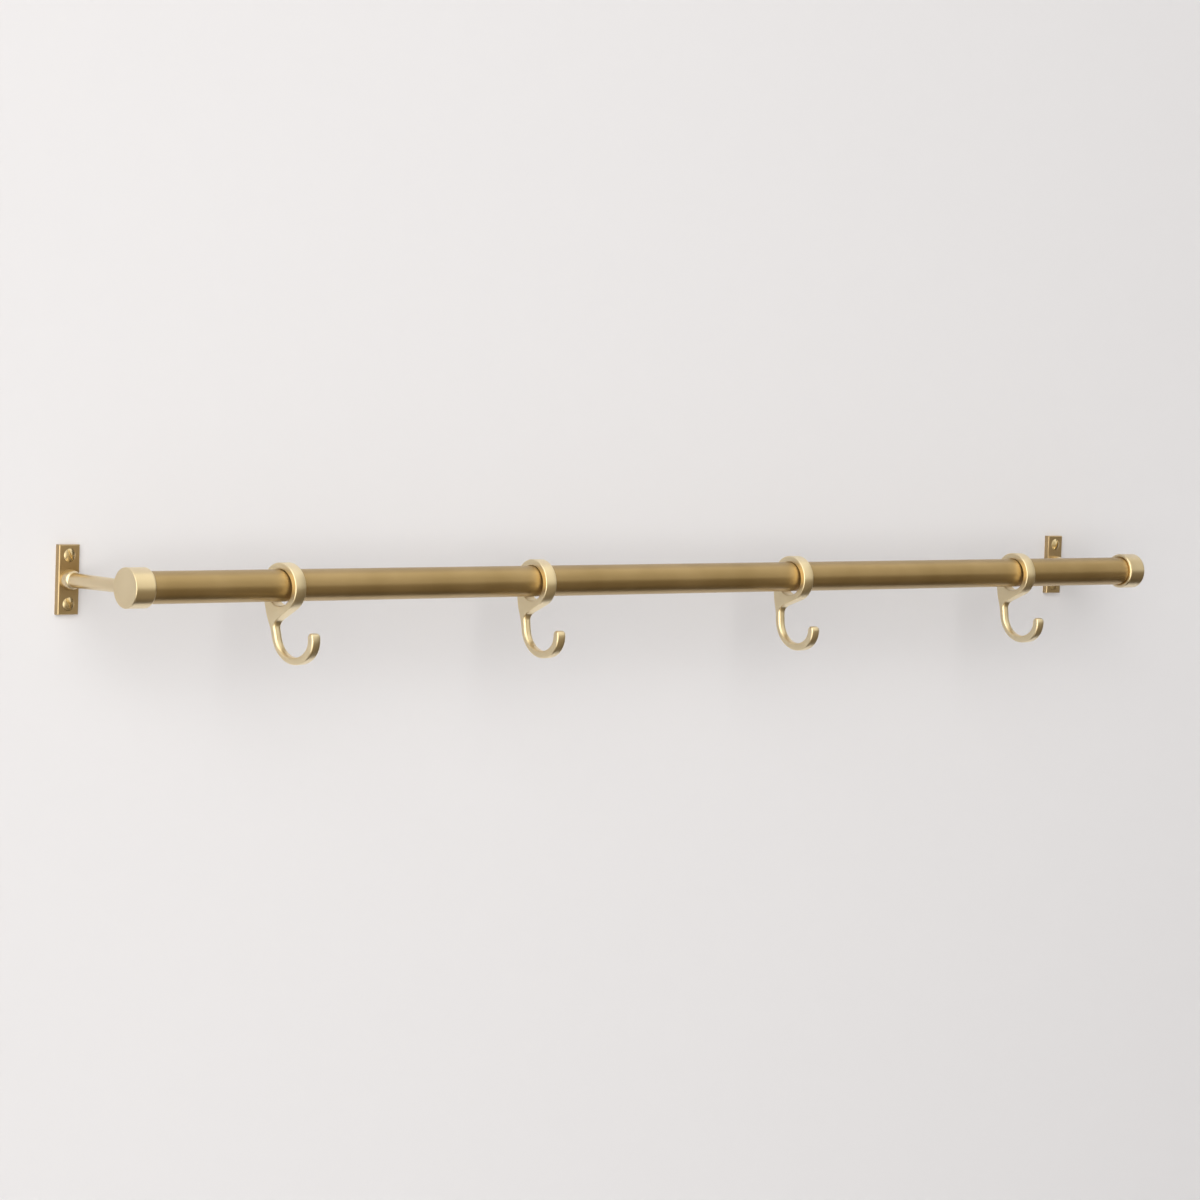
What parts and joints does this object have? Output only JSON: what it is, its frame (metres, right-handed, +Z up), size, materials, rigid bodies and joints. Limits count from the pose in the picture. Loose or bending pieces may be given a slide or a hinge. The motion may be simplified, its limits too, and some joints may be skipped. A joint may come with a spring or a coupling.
{
  "type": "wall-mounted hanging rail",
  "caption": "Wall-mounted brass rail held off the wall by two arms on screwed plates, with cast hooks that slide along the tube to hang utensils, towels or clothes.",
  "frame": {"origin": "on the wall plane, midway between the two wall plates and level with the rail's axis; centre of the pattern of the four wall screws", "axes": "+X along the rail to the right as seen from the room, +Y into the wall, +Z up"},
  "size_m": [0.9, 0.1339, 0.0718],
  "materials": {
    "tube_brass": "satin brushed round the tube, lacquered",
    "turned_brass": "satin turned, lacquered",
    "plate_brass": "satin brushed lengthways, lacquered",
    "cast_brass": "cast, linished on the flats and polished on the rounds, lacquered",
    "screw_brass": "bright turned"
  },
  "bodies": {
    "rail": {"rail_tube": "tube_brass", "end_cap_left": "turned_brass", "arm_left": "turned_brass", "wall_plate_left": "plate_brass", "arm_screw_left": "screw_brass", "wall_screw_left_upper": "screw_brass", "wall_screw_left_lower": "screw_brass", "end_cap_right": "turned_brass", "arm_right": "turned_brass", "wall_plate_right": "plate_brass", "arm_screw_right": "screw_brass", "wall_screw_right_upper": "screw_brass", "wall_screw_right_lower": "screw_brass"},
    "hook_1": {"hook_1": "cast_brass"},
    "hook_2": {"hook_2": "cast_brass"},
    "hook_3": {"hook_3": "cast_brass"},
    "hook_4": {"hook_4": "cast_brass"}
  },
  "joints": [
    {"name": "hook_1_slide", "type": "slide", "parent": "rail", "child": "hook_1", "axis": [1, 0, 0], "range_m": [-0.09722, 0.09497]},
    {"name": "hook_2_slide", "type": "slide", "parent": "rail", "child": "hook_2", "axis": [1, 0, 0], "range_m": [-0.0968, 0.11072]},
    {"name": "hook_3_slide", "type": "slide", "parent": "rail", "child": "hook_3", "axis": [1, 0, 0], "range_m": [-0.11073, 0.10623]},
    {"name": "hook_4_slide", "type": "slide", "parent": "rail", "child": "hook_4", "axis": [1, 0, 0], "range_m": [-0.10622, 0.10585]}
  ]
}
